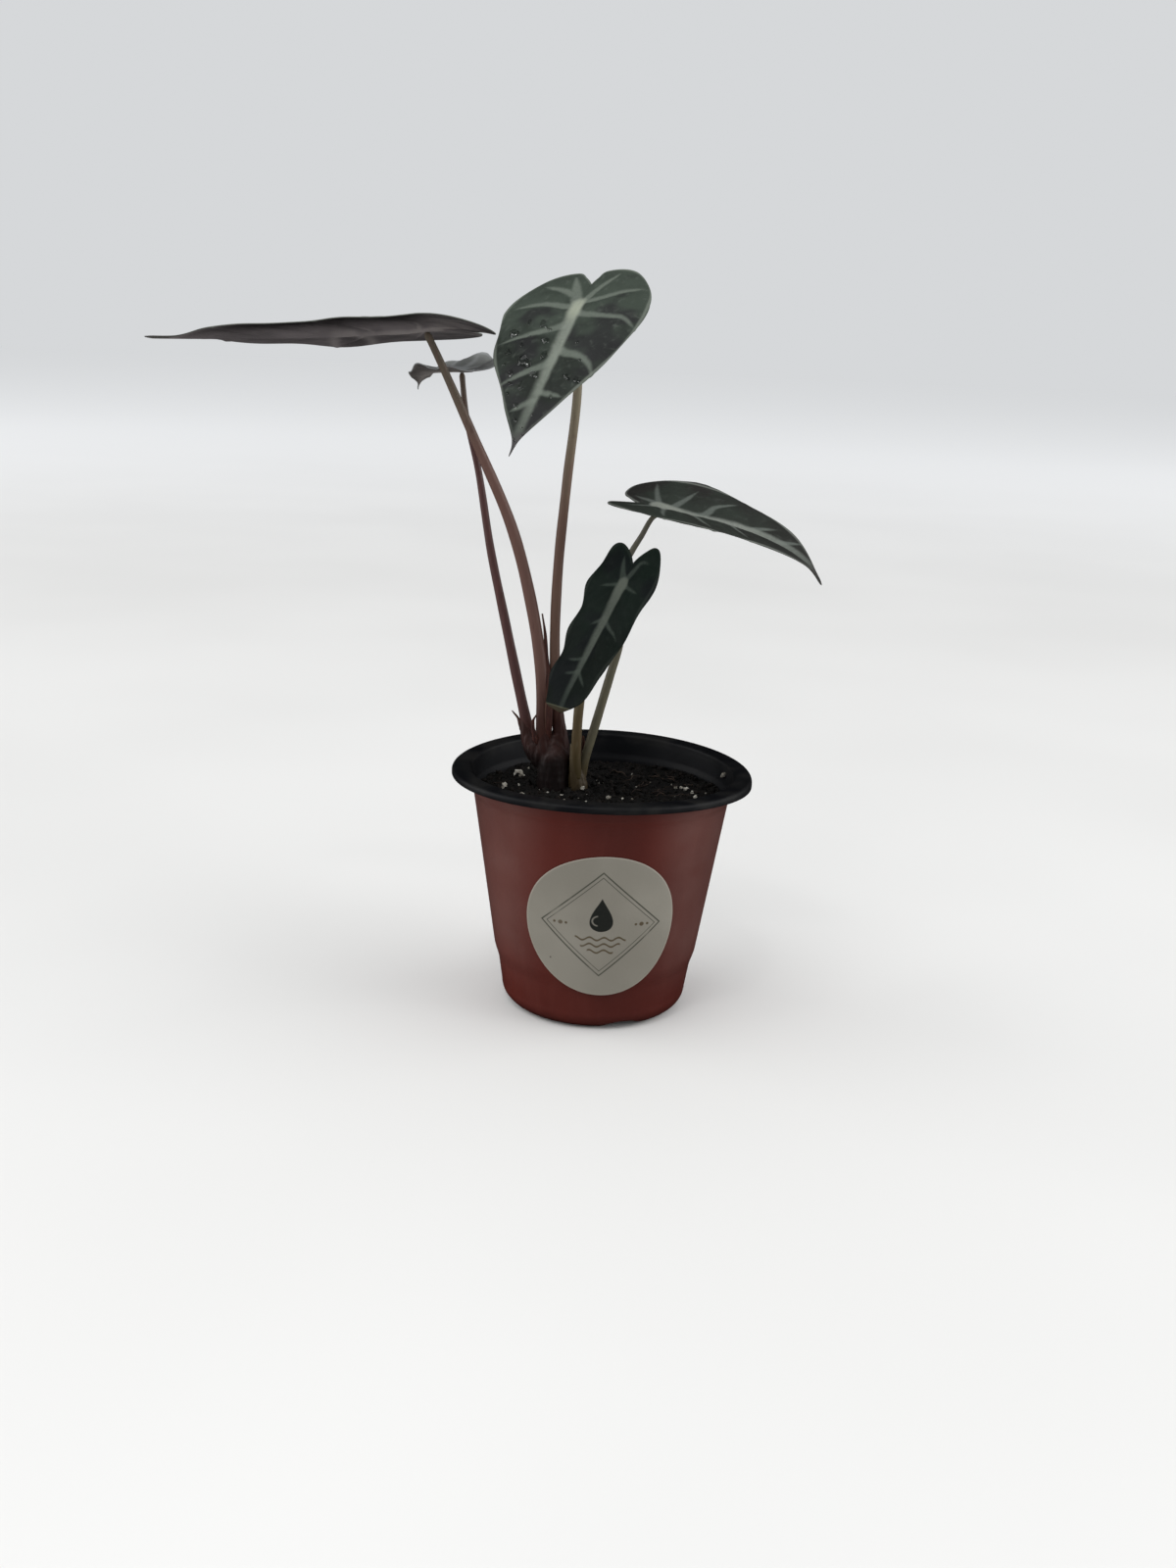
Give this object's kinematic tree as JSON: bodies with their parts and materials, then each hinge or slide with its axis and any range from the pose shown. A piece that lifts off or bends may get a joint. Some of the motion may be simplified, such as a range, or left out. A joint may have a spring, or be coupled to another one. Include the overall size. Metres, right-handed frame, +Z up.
{
  "type": "potted fairy alocasia",
  "caption": "Young aroid house plant: silvery-veined arrow-shaped leaves on slender reddish and olive stalks, growing from soil in a thin tapered nursery pot with a flat rim.",
  "frame": {"origin": "centre of the pot's flat underside, on the pot's axis", "axes": "+Z up along the pot's axis, -Y the front with the round sticker, +X to the right seen from the front"},
  "size_m": [0.2182, 0.1, 0.2411],
  "materials": {
    "pot": "satin",
    "soil": "matte",
    "sticker": "satin",
    "corm": "satin",
    "young_corm": "satin",
    "red_stalk": "satin",
    "olive_stalk": "satin",
    "pale_blade": "satin",
    "dark_blade": "satin"
  },
  "bodies": {
    "root": {"pot": "pot", "soil": "soil", "sticker": "sticker", "crown_main": "corm", "crown_offset": "young_corm", "blade_long": "pale_blade", "blade_small": "pale_blade", "blade_broad": "pale_blade", "blade_arching": "pale_blade", "blade_narrow": "dark_blade", "stalk_long": "red_stalk", "stalk_small": "red_stalk", "stalk_broad": "red_stalk", "stalk_arching": "olive_stalk", "stalk_narrow": "olive_stalk"}
  },
  "joints": []
}
